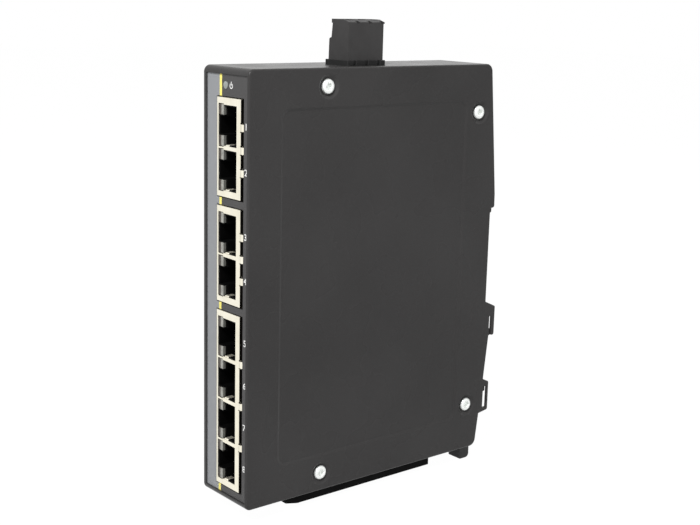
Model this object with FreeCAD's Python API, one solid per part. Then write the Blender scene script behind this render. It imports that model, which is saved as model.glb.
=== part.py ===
import FreeCAD, Part
import math
import os

V = FreeCAD.Vector

# Slim eight-port network switch for a 35 mm top-hat rail, standing upright.
# Everything is laid out in housing coordinates: x from the middle of the width,
# positive towards the screwed-on cover, y from the front plane towards the rail,
# z from the underside of the housing. The export moves the origin to the middle
# of the seat that rests against the rail.

# ---------------------------------------------------------------- driving sizes

# Rail and the interface to it
rail_height = 35.0
rail_sheet = 1.0
rail_level = 72.15          # middle of the rail above the underside
seat_depth = 107.4          # rail seat behind the front plane
rail_play = 0.1             # room above and below the rail
lip_gap = 1.2               # slot for the rail's flange behind the seat

# Housing; its height follows from the socket blocks
width = 25.0
far_wall = 1.5
rim_wall = 1.8
cover_sheet = 0.8
edge_round = 0.7
front_corner = 2.2
rear_corner = 2.8
rear_inset = 3.3            # rear edge at top and bottom, in front of the rail seat
upper_taper = 5.5           # degrees, rear edge above the rail
lower_taper = 6.0           # degrees, rear edge below the rail
recess_inset = 1.25         # rear edge beside the rail, in front of the rail seat
shoulder_drop = 0.45        # fall of the shoulder above the rail
shoulder_rise = 5.0         # the taper ends this far above the shoulder
shoulder_corner = 0.8
channel_inset = 6.4         # rear wall behind the hook and the latch, in front of the rail seat
channel_rise = 24.25        # top of that channel above the middle of the rail
guide_gap = 0.2             # side clearance of the latch
cheek_bottom = 3.0
cheek_inset = 0.7
cheek_lip = 1.0
cheek_lip_depth = 1.3
cheek_lip_bottom = 14.0
cheek_lip_overlap = 0.6     # over the edge of the latch
cheek_root = 0.5            # into the rear wall
cheek_bend = 12.0           # its slope ends this far above the lower lug
cheek_top_drop = 2.6        # below the rail

# Hooked lugs on the rear edge of both side plates
upper_lug_length = 3.8      # beyond the rail seat
upper_lug_drop = 12.75      # its lower end below the rail
upper_lug_slope = 0.455      # fall of its top for each millimetre outwards
upper_slot_drop = 5.45
lug_slot = 1.15
lug_arm = 1.5
lower_lug_length = 2.35
lower_lug_bottom = 12.4
lower_lug_tall = 13.0
lug_corner = 0.7
lug_root = 4.0              # overlap of a lug with its plate
lower_lug_slope = 1.4       # fall of its top
window_front = 2.7          # window of the lower lug, in front of the lug's end
window_rear = 0.8
window_rise = 1.8
window_tall = 8.2

# Cover details
panel_front = 12.4          # pressed-in panel, distance from the front plane
panel_rear_gap = 12.8
panel_bottom = 12.3
panel_top_gap = 12.3
panel_depth = 0.4
panel_corner = 3.5
panel_slope = 0.9           # width of the sloped step round the panel
screw_front = 30.85
screw_rear_gap = 5.35
screw_top_gap = 5.95
screw_bottom = 6.2
screw_upper_gap = 16.8
screw_lower = 16.95
dimple_radius = 4.1
dimple_depth = 1.0
dimple_play = 0.35          # flat floor beside the screw head
pad_size = 3.3
screw_head_radius = 2.4
screw_head_height = 1.5
screw_radius = 1.45
screw_length = 8.0
post_size = 2.2
fit = 0.05

# Front label
label_depth = 0.8
label_sheet = 0.4
label_inset = 1.85
label_bottom = 2.3
label_top_gap = 2.2
label_edge_gap = 0.1

# Socket blocks from the top down, and the room above, between and below them
block_port_counts = [2, 2, 4]
head_room = 9.4
block_spacing = 3.02
foot_room = 5.02
port_pitch = 13.97
port_opening = 12.74
block_margin_top = 2.25
block_margin_bottom = 2.04
block_cover_gap = 3.59
block_width = 13.01
block_front = 0.25
block_depth = 16.5
block_gap = 0.4             # clearance of a block in its window, but for the tabs' side
block_tab_gap = 1.4
shield_sheet = 0.3
port_inset = 7.13
port_low_x = -5.15          # mouth of a port in its shield, from the middle of the port
port_high_x = 4.8
plug_half_z = 5.95
plug_low_x = -2.0
latch_low_x = -4.7
plug_high_x = 4.75
cavity_depth = 13.0
latch_half_z = 2.85
latch_depth = 9.0
lamp_low_x = -4.9
lamp_high_x = -2.3
lamp_low_z = 3.2
lamp_high_z = 6.5
lamp_length = 5.8
lamp_bare = 1.1             # length over which the wall beside a lamp is cut back
lamp_rise = 0.35            # room for a lamp beyond the mouth of its port
contact_count = 8
contact_pitch = 1.02
contact_width = 0.36
contact_sheet = 0.35
contact_tip_x = 3.05
contact_tip_depth = 10.2
contact_bend_depth = 2.9
contact_room = 1.1
contact_play = 1.0
tail_space = 1.3
tab_reach = 1.25
tab_root = 0.5              # how far the slits beside a tab run into the face of its shield
tab_slit = 0.4
tab_bend = 0.35             # the tip of a tab turns back by this much
tab_height = 2.2
finger_low_x = -1.5
finger_high_x = 0.5
finger_length = 3.0
finger_room = 0.3

# Circuit board and what it carries
board_sheet = 1.6
board_front = 3.0
board_rear_gap = 7.0
board_edge = 3.4
board_screw_edge = 5.0
board_screw_mid = 64.0
board_screw_radius = 1.2
board_screw_floor = 1.0     # post left beyond the end of the screw
board_hex = 2.2
post_gap = 1.0
magnetics_depth = 27.0
magnetics_size = (9.6, 12.8, 5.2)
capacitor_radius = 4.0
capacitor_height = 10.2
capacitor_places = [(74.0, 110.0)]
# Packages: name, place along y and z, size along y and z, height
board_packages = [
    ("switch_chip", 52.0, 66.0, 16.0, 16.0, 1.6),
    ("memory_chip", 52.0, 88.0, 5.0, 4.0, 1.5),
    ("clock_crystal", 68.0, 74.0, 4.6, 11.4, 3.4),
    ("converter_chip", 58.0, 124.0, 5.0, 6.0, 1.6),
    ("supply_inductor", 58.0, 112.0, 12.0, 12.0, 4.6),
    ("input_fuse", 42.0, 126.0, 3.2, 6.8, 2.6),
]

# Status light
light_offset = 1.35         # from the middle of the ports towards the far side
light_drop = 5.55           # below the top of the housing
light_radius = 1.15
neck_half = 0.75            # square neck of the guide in the front wall

# Power connector: header in the housing, pull-off plug with three clamps
poles = 3
pole_pitch = 5.08
plug_mid = 49.15
plug_width = 14.7
plug_cover_gap = 3.65
plug_thick = 10.4
plug_above = 14.7           # plug above the top of the housing
plug_step = 1.6             # it is this much slimmer above the ledge
plug_round = 0.3
brow_tall = 1.3             # brow over the clamp side, and the lip on the rear side
brow_depth = 0.5
lip_reach = 0.45
slope_width = 2.6           # slope along its top edge on the cover side
slope_drop = 0.8
seat_play = 0.2
plug_ledge = 8.4            # height of the ledge on the clamp side
plug_sink = 6.8             # floor of the header's cavity below the top of the housing
plug_play = 0.15
groove_offset = 1.05        # test grooves in its top edge, behind each pole
groove_width = 1.25
groove_depth = 1.15
groove_drop = 1.3
header_wall = 0.45
header_rise = 1.7
header_notch = 2.2          # depth of the coding notches in its cover side
notch_half = 0.65
header_floor = 2.0
header_play = 0.2
pin_size = 1.0
pin_inset = 5.15
pin_sink = 0.8
clamp_level = 5.2           # clamp screws above the top of the housing
clamp_radius = 1.1
clamp_head_radius = 1.75
clamp_head_height = 1.3
cage_width = 3.2
cage_wall = 0.4
cage_depth = 4.2
cage_nut = 1.0
cage_length = 4.8
bar_sheet = 0.6
bar_half = 1.0
bar_clearance = 0.15        # end of the screw before the bar
pocket_play = 0.1
wire_entry = 3.3

# Rail hook and sprung latch
clip_inset = 2.7            # beside the hook, the latch and the strip
hook_drop = 14.65           # its lower end below the middle of the rail
hook_pocket = 2.0           # half width of the hollows beside its screws
hook_wall = 1.8
hook_relief = 0.3           # groove in the seat in front of the lip
lip_sheet = 1.1
lip_overlap = 2.4
latch_overlap = 1.65
latch_travel = 2.6
latch_skin = 1.8
hollow_bottom = 9.0
latch_inset = 0.4
foot_drop = 5.3
foot_inset = 8.4
foot_heel = 0.6             # the foot's lower corner behind the slider
foot_round = 1.5
foot_gap = 0.2              # the foot's shoulder stops against the underside
latch_play = 0.3
tooth_thick = 2.0
tooth_half = 5.5
tooth_slope = 2.8
ledge_gap = 0.25            # slider in front of the tooth's catch
rib_reach = 1.0             # grip ribs across the slider, beyond the lugs
upper_rib_drop = 0.8        # below the end of the upper lug
upper_rib_tall = 2.3
lower_rib_drop = 2.9        # below the top of the lower lug
lower_rib_tall = 3.0
rib_slope = 1.5
hook_screw_spacing = 18.0
hook_screw_drop = 0.65
hook_screw_seat = 2.5
hook_recess = 3.2
hook_boss = 3.5
spring_seat = 33.0
spring_radius = 1.45
spring_wire = 0.5
spring_coils = 4
spring_sides = 10

# Strip under the housing
strip_front = 17.4
strip_rear_gap = 21.0
strip_depth = 3.7
strip_ramp = 5.6
tongue_inset = 2.0
tongue_play = 0.15

# ------------------------------------------------------------------ derived sizes

block_margins = block_margin_top + block_margin_bottom
block_heights = [block_margins + port_opening + (ports - 1) * port_pitch for ports in block_port_counts]
height = foot_room + sum(block_heights) + block_spacing * (len(block_heights) - 1) + head_room
block_tops = [height - head_room - sum(block_heights[:n]) - n * block_spacing
              for n in range(len(block_heights))]
half = width / 2
cover_in = half - cover_sheet
far_in = -half + far_wall
block_right = cover_in - block_cover_gap
block_left = block_right - block_width
port_mid = block_right - port_inset
light_x = port_mid - light_offset
plug_right = cover_in - plug_cover_gap
plug_left = plug_right - plug_thick
pin_x = plug_right - pin_inset
rail_top = rail_level + rail_height / 2
rail_bottom = rail_level - rail_height / 2
rear_depth = seat_depth - rear_inset
recess_depth = seat_depth - recess_inset
channel_depth = seat_depth - channel_inset
channel_top = rail_level + channel_rise
upper_lug_reach = seat_depth + upper_lug_length
upper_lug_bottom = rail_bottom - upper_lug_drop
upper_slot_top = rail_bottom - upper_slot_drop
lower_lug_reach = seat_depth + lower_lug_length
lower_lug_top = lower_lug_bottom + lower_lug_tall
panel_top = height - panel_top_gap
cover_screws = [
    (screw_front, height - screw_top_gap),
    (rear_depth - screw_rear_gap, height - screw_upper_gap),
    (rear_depth - screw_rear_gap, screw_lower),
    (screw_front, screw_bottom),
]
label_left = -half + label_inset
board_rear = channel_depth - board_rear_gap
board_top = height - board_edge
board_screws = [
    (board_screw_mid, board_top - board_screw_edge),
    (board_rear - board_screw_edge, rail_level),
    (board_screw_mid, board_edge + board_screw_edge),
]
light_level = height - light_drop
plug_seat = height - plug_sink
pin_top = height - pin_sink
clip_half = half - clip_inset
hook_bottom = rail_level - hook_drop
hook_screw_levels = [rail_level - hook_screw_drop + side * hook_screw_spacing / 2 for side in (-1, 1)]
foot_bottom = -foot_drop
foot_front = seat_depth - foot_inset
strip_half = half - clip_inset
strip_rear = rear_depth - strip_rear_gap
board_face = block_left
board_back = board_face - board_sheet
block_back = block_front + block_depth
label_face = label_depth - label_sheet
post_top = half - dimple_depth - cover_sheet
plug_top = height + plug_above
clamp_z = height + clamp_level
header_x0 = board_face
header_x1 = plug_right + plug_play + header_wall
collar_x0 = plug_left - plug_play - header_wall
header_y0 = plug_mid - plug_width / 2 - plug_play - header_wall
header_y1 = plug_mid + plug_width / 2 + plug_play + header_wall
header_top = height + header_rise
pole_places = [plug_mid + (n - (poles - 1) / 2) * pole_pitch for n in range(poles)]


def upper_rear(level):
    """Rear edge of the side plates above the rail."""
    return rear_depth + (height - level) * math.tan(math.radians(upper_taper))


def lower_rear(level):
    """Rear edge of the side plates below the rail."""
    return rear_depth + level * math.tan(math.radians(lower_taper))


# ---------------------------------------------------------------- shape helpers
# Threads are drawn as six-sided bars in six-sided holes, sized over their flats.

def box(x0, x1, y0, y1, z0, z1):
    return Part.makeBox(x1 - x0, y1 - y0, z1 - z0, V(x0, y0, z0))


def upright(x, y, half_x, half_y, z0, z1):
    """Box that stands centred on (x, y)."""
    return box(x - half_x, x + half_x, y - half_y, y + half_y, z0, z1)


def rod(radius, start, direction, length):
    return Part.makeCylinder(radius, length, V(*start), V(*direction))


def rounded_wire(corners, place):
    """Closed outline through (a, b, radius) corners; place(a, b) gives the point in space."""
    count = len(corners)
    starts = []
    arcs = []
    for n in range(count):
        a, b, radius = corners[n]
        corner = V(a, b, 0)
        before = V(corners[n - 1][0], corners[n - 1][1], 0) - corner
        after = V(corners[(n + 1) % count][0], corners[(n + 1) % count][1], 0) - corner
        before.normalize()
        after.normalize()
        if radius == 0:
            starts.append((corner, corner))
            arcs.append(None)
            continue
        turn = before.getAngle(after) / 2
        reach = radius / math.tan(turn)
        middle = before + after
        middle.normalize()
        middle = corner + middle * (radius / math.sin(turn) - radius)
        starts.append((corner + before * reach, corner + after * reach))
        arcs.append(middle)
    edges = []
    for n in range(count):
        first, last = starts[n]
        if arcs[n] is not None:
            edges.append(Part.Arc(place(first.x, first.y), place(arcs[n].x, arcs[n].y),
                                  place(last.x, last.y)).toShape())
        following = starts[(n + 1) % count][0]
        if (following - last).Length > 1e-6:
            edges.append(Part.makeLine(place(last.x, last.y), place(following.x, following.y)))
    return Part.Wire(edges)


def side_slab(corners, x0, x1):
    """Outline in the side view, (y, z, radius), extruded across the width."""
    corners = [(c[0], c[1], c[2] if len(c) > 2 else 0) for c in corners]
    face = Part.Face(rounded_wire(corners, lambda a, b: V(x0, a, b)))
    return face.extrude(V(x1 - x0, 0, 0))


def plan_slab(corners, z0, z1):
    """Outline in the plan view, (x, y, radius), extruded upwards."""
    corners = [(c[0], c[1], c[2] if len(c) > 2 else 0) for c in corners]
    face = Part.Face(rounded_wire(corners, lambda a, b: V(a, b, z0)))
    return face.extrude(V(0, 0, z1 - z0))


def front_slab(corners, y0, y1):
    """Outline in the front view, (x, z, radius), extruded rearwards."""
    corners = [(c[0], c[1], c[2] if len(c) > 2 else 0) for c in corners]
    face = Part.Face(rounded_wire(corners, lambda a, b: V(a, y0, b)))
    return face.extrude(V(0, y1 - y0, 0))


def ribbon(points, sheet):
    """Outline of a bent strip of even thickness that follows the points."""
    left = []
    right = []
    last = len(points) - 1
    for n in range(last + 1):
        here = V(points[n][0], points[n][1], 0)
        back = here - V(points[max(n - 1, 0)][0], points[max(n - 1, 0)][1], 0)
        ahead = V(points[min(n + 1, last)][0], points[min(n + 1, last)][1], 0) - here
        if n == 0:
            back = ahead
        if n == last:
            ahead = back
        back.normalize()
        ahead.normalize()
        normal = V(-back.y - ahead.y, back.x + ahead.x, 0)
        normal.normalize()
        reach = sheet / 2 / normal.dot(V(-ahead.y, ahead.x, 0))
        left.append(here + normal * reach)
        right.append(here - normal * reach)
    loop = left + right[::-1]
    return [(p.x, p.y) for p in loop]


def hex_rod(size, start, direction, length):
    """Hexagonal bar, size from its axis to a flat."""
    axis = V(*direction)
    across = V(0, 0, 1)
    corner_radius = size / math.cos(math.radians(30))
    corners = []
    for n in range(7):
        angle = math.radians(60 * n)
        corners.append(V(*start) + across * (corner_radius * math.cos(angle))
                       + axis.cross(across) * (corner_radius * math.sin(angle)))
    return Part.Face(Part.makePolygon(corners)).extrude(axis * length)


def cut_all(shape, tools):
    return shape.cut(Part.makeCompound(tools)) if tools else shape


def join(shapes):
    whole = shapes[0]
    if len(shapes) > 1:
        whole = whole.fuse(shapes[1:])
    return whole.removeSplitter()


def save(name, shape):
    solids = shape.Solids
    part = solids[0].copy() if len(solids) == 1 else Part.makeCompound([s.copy() for s in solids])
    part.translate(V(0, -seat_depth, -rail_level))
    part.exportStep("parts/" + name + ".step")


# -------------------------------------------------------------------- side plates

shoulder_level = rail_top + rail_play + shoulder_drop / 2
shoulder_top = shoulder_level + shoulder_rise
shoulder_depth = upper_rear(shoulder_top)
lug_top = rail_bottom - rail_play + upper_lug_slope * (seat_depth - recess_depth)
lug_seat = lug_top - upper_lug_slope * (upper_lug_reach - recess_depth)


def plate_corners():
    """Side plate without its lugs: tapered above and below, cut back beside the rail."""
    return [
        (0, 0, front_corner),
        (0, height, front_corner),
        (rear_depth, height, rear_corner),
        (shoulder_depth, shoulder_top, 0),
        (shoulder_depth + 0.1, shoulder_level, shoulder_corner),
        (recess_depth, shoulder_level - shoulder_drop, 0),
        (recess_depth, lug_top, 0),
        (recess_depth - lug_root + lug_arm, lug_top - lug_arm, 0),
        (lower_rear(lower_lug_top) - lug_arm, lower_lug_top, 0),
        (lower_rear(lower_lug_top), lower_lug_top - lug_root, 0),
        (lower_rear(0), 0, rear_corner),
    ]


def upper_lug():
    """Lug below the rail: sloped on top, with a downward finger behind an open slot."""
    finger_front = upper_lug_reach - lug_arm
    slot_front = finger_front - lug_slot
    return [
        (recess_depth - lug_root, lug_top, 0),
        (recess_depth, lug_top, 0),
        (upper_lug_reach, lug_seat, lug_corner),
        (upper_lug_reach, upper_lug_bottom, lug_corner),
        (finger_front, upper_lug_bottom, 0.4),
        (finger_front, upper_slot_top, 0),
        (slot_front, upper_slot_top, 0),
        (lower_rear(upper_lug_bottom), upper_lug_bottom, 0),
        (lower_rear(lower_lug_top), lower_lug_top, 0),
        (recess_depth - lug_root, lower_lug_top, 0),
    ]


def lower_lug():
    """Low lug with a closed window."""
    return [
        (rear_depth - lug_root, lower_lug_top + lug_root, 0),
        (lower_rear(lower_lug_top + lug_root), lower_lug_top + lug_root, 0),
        (lower_rear(lower_lug_top), lower_lug_top, 0),
        (lower_lug_reach, lower_lug_top - lower_lug_slope, lug_corner),
        (lower_lug_reach, lower_lug_bottom + lower_lug_slope / 2, lug_corner),
        (lower_rear(lower_lug_bottom), lower_lug_bottom, 0),
        (rear_depth - lug_root, lower_lug_bottom, 0),
    ]


def lower_window():
    front = lower_lug_reach - window_front
    rear = lower_lug_reach - window_rear
    low = lower_lug_bottom + window_rise
    return [
        (front, low + window_tall, 0),
        (rear, low + window_tall, 0),
        (rear, low, 0),
        (front, low, 0),
    ]


def side_plate(x0, x1, outer):
    """Plate between x0 and x1 whose edges are rounded on the outer face."""
    plate = side_slab(plate_corners(), x0, x1)
    rims = []
    for edge in plate.Edges:
        ends = [vertex.Point for vertex in edge.Vertexes]
        middle = edge.CenterOfMass
        on_face = all(abs(point.x - outer) < 1e-6 for point in ends)
        beside_rail = middle.y > recess_depth - lug_root and lower_lug_top < middle.z < shoulder_level + 0.5
        if on_face and not beside_rail:
            rims.append(edge)
    plate = plate.makeFillet(edge_round, rims)
    lugs = [side_slab(upper_lug(), x0, x1), side_slab(lower_lug(), x0, x1)]
    return join([plate] + lugs).cut(side_slab(lower_window(), x0 - 1, x1 + 1)).removeSplitter()


# -------------------------------------------------------------------- main shell

def core_corners(inset):
    """Outline of the rim walls between the two plates, set in by the given amount."""
    low = channel_top + inset
    return [
        (inset, inset, max(front_corner - inset, 0)),
        (inset, height - inset, max(front_corner - inset, 0)),
        (rear_depth - inset, height - inset, max(rear_corner - inset, 0)),
        (upper_rear(low) - inset - edge_round, low, 0),
        (channel_depth - inset, low, 0),
        (channel_depth - inset, inset, 0),
    ]


def block_span(block):
    return block_tops[block] - block_heights[block], block_tops[block]


def port_levels(block):
    first = block_tops[block] - block_margin_top - port_opening / 2
    return [first - n * port_pitch for n in range(block_port_counts[block])]


def tab_levels(block):
    """Earthing tabs stand beside the ports and the webs, on the tall block beside the webs only."""
    levels = port_levels(block)
    webs = [(levels[n] + levels[n + 1]) / 2 for n in range(len(levels) - 1)]
    return webs if len(levels) > 2 else levels + webs


def block_window(block, y0, y1):
    """Cut-out for a socket block, wider on the side where its earthing tabs stand."""
    low, high = block_span(block)
    return box(block_left - block_gap, block_right + block_tab_gap, y0, y1, low - block_gap, high + block_gap)


def latch_cheeks():
    """Two ribs beside the latch, each with an inward lip that holds it."""
    root = channel_depth - cheek_root
    bend = lower_lug_top + cheek_bend
    cheek_top = rail_bottom - cheek_top_drop
    cheek = [
        (root, cheek_bottom),
        (lower_rear(cheek_bottom) - cheek_inset, cheek_bottom),
        (lower_rear(bend) - cheek_inset, bend),
        (recess_depth - cheek_inset, cheek_top),
        (root, cheek_top),
    ]
    outer = clip_half + guide_gap
    lip_front = channel_depth + cheek_lip_depth
    lip = (lip_front, lip_front + cheek_lip, cheek_lip_bottom, upper_lug_bottom)
    far = side_slab(cheek, far_in, -outer)
    near = side_slab(cheek, outer, cover_in)
    far_lip = box(-outer, -clip_half + cheek_lip_overlap, *lip)
    near_lip = box(clip_half - cheek_lip_overlap, outer, *lip)
    return [far, near, far_lip, near_lip]


spring_top = rail_bottom - latch_play - 2.4
spring_y = channel_depth + latch_play + 0.1 + spring_radius + spring_wire / 2


def make_shell():
    plate = side_plate(-half, far_in, -half)
    core = side_slab(core_corners(0), far_in, cover_in)
    cavity = side_slab(core_corners(rim_wall), far_in, cover_in + 1)
    rim = core.cut(cavity)
    posts = []
    holes = []
    for y, z in cover_screws:
        posts.append(hex_rod(post_size, (far_in, y, z), (1, 0, 0), post_top - far_in))
        holes.append(hex_rod(screw_radius + fit, (post_top - screw_length, y, z), (1, 0, 0),
                             screw_length + 1))
    for y, z in board_screws:
        posts.append(hex_rod(post_size, (far_in, y, z), (1, 0, 0), board_back - far_in))
        holes.append(hex_rod(board_screw_radius + fit, (far_in + 0.5, y, z), (1, 0, 0), board_back - far_in))
    for z in hook_screw_levels:
        holes.append(hex_rod(screw_radius + fit, (0, channel_depth + 1, z), (0, -1, 0),
                             rim_wall + hook_boss + 1))
    middle = sum(hook_screw_levels) / 2
    reach = hook_screw_spacing / 2 + hook_recess
    boss_rear = channel_depth - rim_wall
    posts.append(upright(0, boss_rear - hook_boss / 2, hook_recess, hook_boss / 2,
                         middle - reach, middle + reach))
    ledge = box(-2.6, 2.6, channel_depth - 0.5, spring_y + spring_radius, spring_seat - 3.0, spring_seat)
    shell = join([plate, rim] + posts + latch_cheeks() + [ledge])
    label_top = height - label_top_gap
    tools = holes + [
        box(label_left, cover_in + 1, -1, label_depth, label_bottom, label_top),
        box(light_x - neck_half - 0.1, light_x + neck_half + 0.1, -1, rim_wall + 1,
            light_level - neck_half - 0.1, light_level + neck_half + 0.1),
        box(collar_x0 - header_play, header_x1 + header_play, header_y0 - header_play,
            header_y1 + header_play, height - rim_wall - 1, height + 1),
        box(-strip_half + tongue_inset - tongue_play, strip_half - tongue_inset + tongue_play,
            strip_front + strip_ramp - tongue_play, strip_rear - tongue_inset + tongue_play,
            -1, rim_wall + 1),
    ]
    for y, z in cover_screws:
        reach = pad_size / math.cos(math.radians(30)) + fit
        tools.append(box(post_top, cover_in + 1, y - reach, y + reach, z - reach, z + reach))
    for block in range(len(block_port_counts)):
        tools.append(block_window(block, -1, rim_wall + 1))
    return cut_all(shell, tools).removeSplitter()


# ------------------------------------------------------------------------- cover

def panel_corners(inset):
    rear = panel_rear_gap + inset
    corner = panel_corner - inset
    return [
        (panel_front + inset, panel_bottom + inset, corner),
        (panel_front + inset, panel_top - inset, corner),
        (upper_rear(panel_top) - rear, panel_top - inset, corner),
        (recess_depth - rear, shoulder_top, 0),
        (recess_depth - rear, upper_lug_bottom, 0),
        (lower_rear(panel_bottom) - rear, panel_bottom + inset, corner),
    ]


def panel_step(top):
    """Pressed-in step with sloped walls whose rim lies at the given place across the width."""
    rim = rounded_wire(panel_corners(0), lambda a, b: V(top, a, b))
    floor = rounded_wire(panel_corners(panel_slope), lambda a, b: V(top - panel_depth, a, b))
    return Part.makeLoft([rim, floor], True, True)


def make_cover():
    plate = side_plate(cover_in, half, half)
    pads = [panel_step(cover_in)]
    tools = [panel_step(half)]
    for y, z in cover_screws:
        pads.append(hex_rod(pad_size, (post_top, y, z), (1, 0, 0), dimple_depth))
        tools.append(Part.makeCone(dimple_radius, screw_head_radius + dimple_play, dimple_depth,
                                   V(half, y, z), V(-1, 0, 0)))
        tools.append(hex_rod(screw_radius + 3 * fit, (post_top - 1, y, z), (1, 0, 0), half - post_top + 2))
    return cut_all(join([plate] + pads), tools).removeSplitter()


def make_cover_screws():
    """Low heads on shanks that reach into the posts."""
    screws = []
    for y, z in cover_screws:
        seat = half - dimple_depth
        shank_end = post_top - screw_length + 1.0
        shank = hex_rod(screw_radius, (shank_end, y, z), (1, 0, 0), seat - shank_end)
        head = rod(screw_head_radius, (seat, y, z), (1, 0, 0), screw_head_height)
        screws.append(join([shank, head]))
    return Part.makeCompound(screws)


# ------------------------------------------------------------------- front label

def make_label():
    sheet = box(label_left + label_edge_gap, cover_in - label_edge_gap, label_face, label_depth,
                label_bottom + label_edge_gap, height - label_top_gap - label_edge_gap)
    tools = [rod(light_radius + 0.1, (light_x, -1, light_level), (0, 1, 0), 4)]
    for block in range(len(block_port_counts)):
        tools.append(block_window(block, -1, 4))
    return cut_all(sheet, tools)


# ------------------------------------------------------------------ socket blocks

def make_shield(block):
    """Folded can round one block: open towards the board, with a cut-out for each port."""
    low, high = block_span(block)
    can = box(block_left, block_right, block_front, block_back, low, high)
    inside = box(block_left - 1, block_right - shield_sheet, block_front + shield_sheet,
                 block_back - shield_sheet, low + shield_sheet, high - shield_sheet)
    can = can.cut(inside)
    tools = []
    fingers = []
    for level in port_levels(block):
        edge = level - port_opening / 2
        mouth = (block_front - 1, block_front + shield_sheet + 0.01)
        top = level + port_opening / 2
        tools.append(box(port_mid + port_low_x, port_mid + port_high_x, *mouth, edge, top))
        tools.append(box(port_mid + port_low_x, port_mid + lamp_high_x + fit, *mouth,
                         edge - lamp_rise, top + lamp_rise))
        bent = [
            (block_front + shield_sheet / 2, edge - 0.2),
            (block_front + shield_sheet / 2 + 0.35, edge + 0.25),
            (block_front + finger_length, edge + 0.3),
        ]
        fingers.append(side_slab(ribbon(bent, shield_sheet * 0.8), port_mid + finger_low_x,
                                 port_mid + finger_high_x))
    tabs = []
    back_of_face = block_front + shield_sheet
    for level in tab_levels(block):
        low_edge = level - tab_height / 2
        high_edge = level + tab_height / 2
        tools.append(box(block_right - tab_root, block_right + 1, block_front - 1, back_of_face + tab_slit,
                         low_edge - tab_slit, high_edge + tab_slit))
        tab = [
            (block_right - tab_root - 0.2, block_front),
            (block_right + tab_reach / 2, block_front),
            (block_right + tab_reach, block_front + tab_bend),
            (block_right + tab_reach, back_of_face + tab_bend),
            (block_right + tab_reach / 2, back_of_face),
            (block_right - tab_root - 0.2, back_of_face),
        ]
        tabs.append(plan_slab(tab, low_edge, high_edge))
    return join([cut_all(can, tools)] + fingers + tabs)


body_back = block_back - shield_sheet - tail_space
recess_half_z = contact_count * contact_pitch / 2


def contact_levels(level):
    first = level - (contact_count - 1) / 2 * contact_pitch
    return [first + n * contact_pitch for n in range(contact_count)]


def make_socket_body(block):
    """Black insulator of a block: plug cavities, latch notches, lamp pockets, room for the contacts."""
    low, high = block_span(block)
    front = block_front + shield_sheet + fit
    body = box(block_left, block_right - shield_sheet - fit, front, body_back,
               low + shield_sheet + fit, high - shield_sheet - fit)
    tools = []
    for level in port_levels(block):
        tools.append(box(port_mid + plug_low_x, port_mid + plug_high_x, front - 1, block_front + cavity_depth,
                         level - plug_half_z, level + plug_half_z))
        tools.append(box(port_mid + latch_low_x, port_mid + plug_low_x + 0.1, front - 1,
                         block_front + latch_depth, level - latch_half_z, level + latch_half_z))
        tools.append(box(port_mid + lamp_high_x, port_mid + plug_low_x + 0.1, front - 1, front + lamp_bare,
                         level - lamp_high_z - fit, level + lamp_high_z + fit))
        for side in (-1, 1):
            ends = sorted([level + side * lamp_low_z, level + side * lamp_high_z])
            tools.append(box(port_mid + lamp_low_x - fit, port_mid + lamp_high_x + fit, front - 1,
                             front + lamp_length + fit, ends[0] - fit, ends[1] + fit))
        tools.append(box(port_mid + finger_low_x - finger_room, port_mid + finger_high_x + finger_room,
                         front - 1, block_front + finger_length + finger_room,
                         level - port_opening / 2 - 0.2, level - plug_half_z + 0.1))
        tools.append(box(port_mid + plug_high_x - 0.1, port_mid + plug_high_x + contact_room + contact_sheet,
                         block_front + contact_bend_depth - contact_play, body_back + 1,
                         level - recess_half_z, level + recess_half_z))
    return cut_all(body, tools).removeSplitter()


def make_contacts(block):
    """Eight bent spring wires for each port, running over the back down to the board."""
    over = port_mid + plug_high_x + contact_room
    tail = body_back + tail_space / 2
    path = [
        (port_mid + contact_tip_x, block_front + contact_tip_depth),
        (over, block_front + contact_bend_depth),
        (over, tail),
        (board_face, tail),
    ]
    outline = ribbon(path, contact_sheet)
    wires = []
    for level in port_levels(block):
        for z in contact_levels(level):
            wires.append(plan_slab(outline, z - contact_width / 2, z + contact_width / 2))
    return Part.makeCompound(wires)


def make_lamps(block):
    """Two signal lamps in the latch-side corners of each port."""
    front = block_front + shield_sheet + fit
    lamps = []
    for level in port_levels(block):
        for side in (-1, 1):
            ends = sorted([level + side * lamp_low_z, level + side * lamp_high_z])
            lamps.append(box(port_mid + lamp_low_x, port_mid + lamp_high_x, block_front + 0.1,
                             front + lamp_length, ends[0], ends[1]))
    return Part.makeCompound(lamps)


# ----------------------------------------------------------------- circuit board

def make_board():
    board = box(board_back, board_face, board_front, board_rear, board_edge, board_top)
    tools = []
    for y, z in cover_screws:
        reach = post_size + post_gap
        tools.append(box(board_back - 1, board_face + 1, y - reach, y + reach, z - reach, z + reach))
    for y, z in board_screws:
        tools.append(hex_rod(board_screw_radius + 3 * fit, (board_back - 1, y, z), (1, 0, 0),
                             board_sheet + 2))
    return cut_all(board, tools).removeSplitter()


def make_board_screws():
    """Hexagon-head screws into the posts behind the board."""
    screws = []
    for y, z in board_screws:
        shank_end = far_in + board_screw_floor
        shank = hex_rod(board_screw_radius, (shank_end, y, z), (1, 0, 0), board_face - shank_end)
        head = hex_rod(board_hex, (board_face, y, z), (1, 0, 0), board_screw_radius)
        screws.append(join([shank, head]))
    return Part.makeCompound(screws)


def board_block(y, z, long_y, long_z, tall):
    """Package on the board, centred at (y, z), with its top edges chamfered."""
    package = box(board_face, board_face + tall, y - long_y / 2, y + long_y / 2,
                  z - long_z / 2, z + long_z / 2)
    rim = [edge for edge in package.Edges if abs(edge.CenterOfMass.x - board_face - tall) < 1e-6]
    return package.makeChamfer(min(tall, 2.0) * 0.15, rim)


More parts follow.
